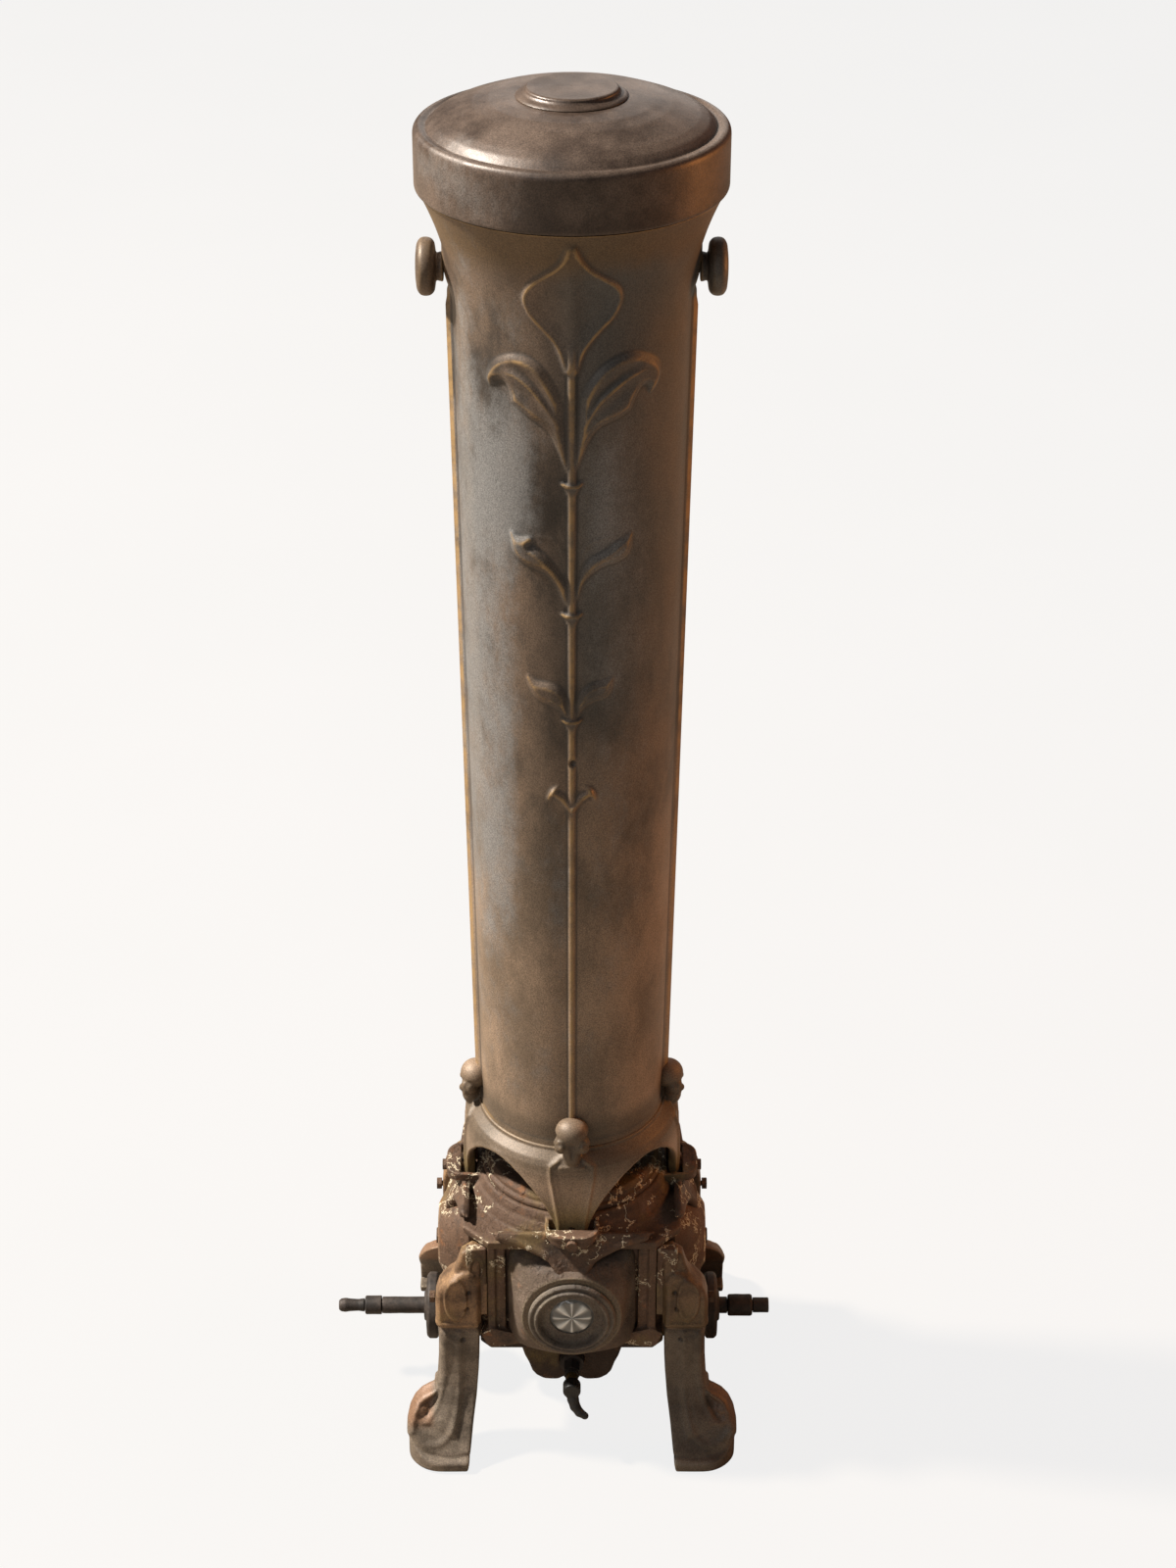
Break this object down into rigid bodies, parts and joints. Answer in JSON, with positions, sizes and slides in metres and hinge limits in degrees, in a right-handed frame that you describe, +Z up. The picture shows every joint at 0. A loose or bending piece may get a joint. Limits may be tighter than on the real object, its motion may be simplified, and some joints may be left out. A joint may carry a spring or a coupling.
{
  "type": "gas column heater",
  "caption": "Slender round cast-iron gas heater: tall tapering column with plant relief and lift-off lid, square base with round window and tap, bracket legs.",
  "frame": {"origin": "on the floor under the column's axis, midway between the four soles", "axes": "+Z up along the column, -Y out of the face with the window and the tap, +X towards the coupling and nipple"},
  "size_m": [0.3265, 0.234, 1],
  "materials": {
    "bronzed_column": "bronzed cast iron, brown with a grey haze, worn to gold on raised edges",
    "lid_iron": "semi-gloss dark brown bronzed cast iron",
    "rusted_iron": "rusted cast iron with flaking cream paint along its edges",
    "fastener_iron": "rusted iron screws, bolts, nuts and straps",
    "leg_iron": "olive brown bronzed cast iron",
    "gas_iron": "dark rusted iron pipe",
    "flue_sheet": "dull sheet iron, brown with heat",
    "jet_brass": "dull brass",
    "black_handle": "black painted iron",
    "window_glass": "pressed grey glass with rays",
    "window_gasket": "black woven gasket"
  },
  "bodies": {
    "stove": {"column_shell": "bronzed_column", "knob_left": "bronzed_column", "knob_right": "bronzed_column", "base_top": "rusted_iron", "burner_crown": "rusted_iron", "base_frame": "rusted_iron", "front_panel": "rusted_iron", "right_cover": "rusted_iron", "rear_cover": "rusted_iron", "left_cover": "rusted_iron", "bowl": "rusted_iron", "knob_nut_left": "rusted_iron", "knob_nut_right": "rusted_iron", "tongue_screw_front": "fastener_iron", "tongue_screw_right": "fastener_iron", "tongue_screw_rear": "fastener_iron", "tongue_screw_left": "fastener_iron", "cover_strap_right": "fastener_iron", "cover_strap_rear": "fastener_iron", "cover_strap_left": "fastener_iron", "cover_bolt_right": "fastener_iron", "cover_bolt_rear": "fastener_iron", "cover_bolt_left": "fastener_iron", "cover_nut_right": "fastener_iron", "cover_nut_rear": "fastener_iron", "cover_nut_left": "fastener_iron", "leg_bolt_front_right": "fastener_iron", "leg_bolt_front_left": "fastener_iron", "leg_bolt_rear_right": "fastener_iron", "leg_bolt_rear_left": "fastener_iron", "leg_front_right": "leg_iron", "leg_front_left": "leg_iron", "leg_rear_right": "leg_iron", "leg_rear_left": "leg_iron", "window_bezel": "leg_iron", "gas_cross": "gas_iron", "flange_left": "gas_iron", "flange_right": "gas_iron", "gas_pipe_left": "gas_iron", "pipe_collar": "gas_iron", "hose_barb": "gas_iron", "gas_pipe_right": "gas_iron", "pipe_coupling": "gas_iron", "pipe_nipple": "gas_iron", "mixer_tube": "gas_iron", "burner_head": "gas_iron", "tap_gland": "gas_iron", "inner_flue": "flue_sheet", "top_baffle": "flue_sheet", "injector": "jet_brass", "window_retainer": "jet_brass", "window_glass": "window_glass", "window_gasket": "window_gasket"},
    "lid": {"lid": "lid_iron", "lid_button": "lid_iron", "lid_nut": "rusted_iron"},
    "tap": {"tap_spindle": "jet_brass", "tap_lever": "black_handle"}
  },
  "joints": [
    {"name": "lid_lift", "type": "slide", "parent": "stove", "child": "lid", "axis": [0, 0, 1], "range_m": [0, 0.06]},
    {"name": "tap_turn", "type": "hinge", "parent": "stove", "child": "tap", "pos_m": [0, -0.08, 0.06], "axis": [0, -1, 0], "range_deg": [0, 90]}
  ]
}
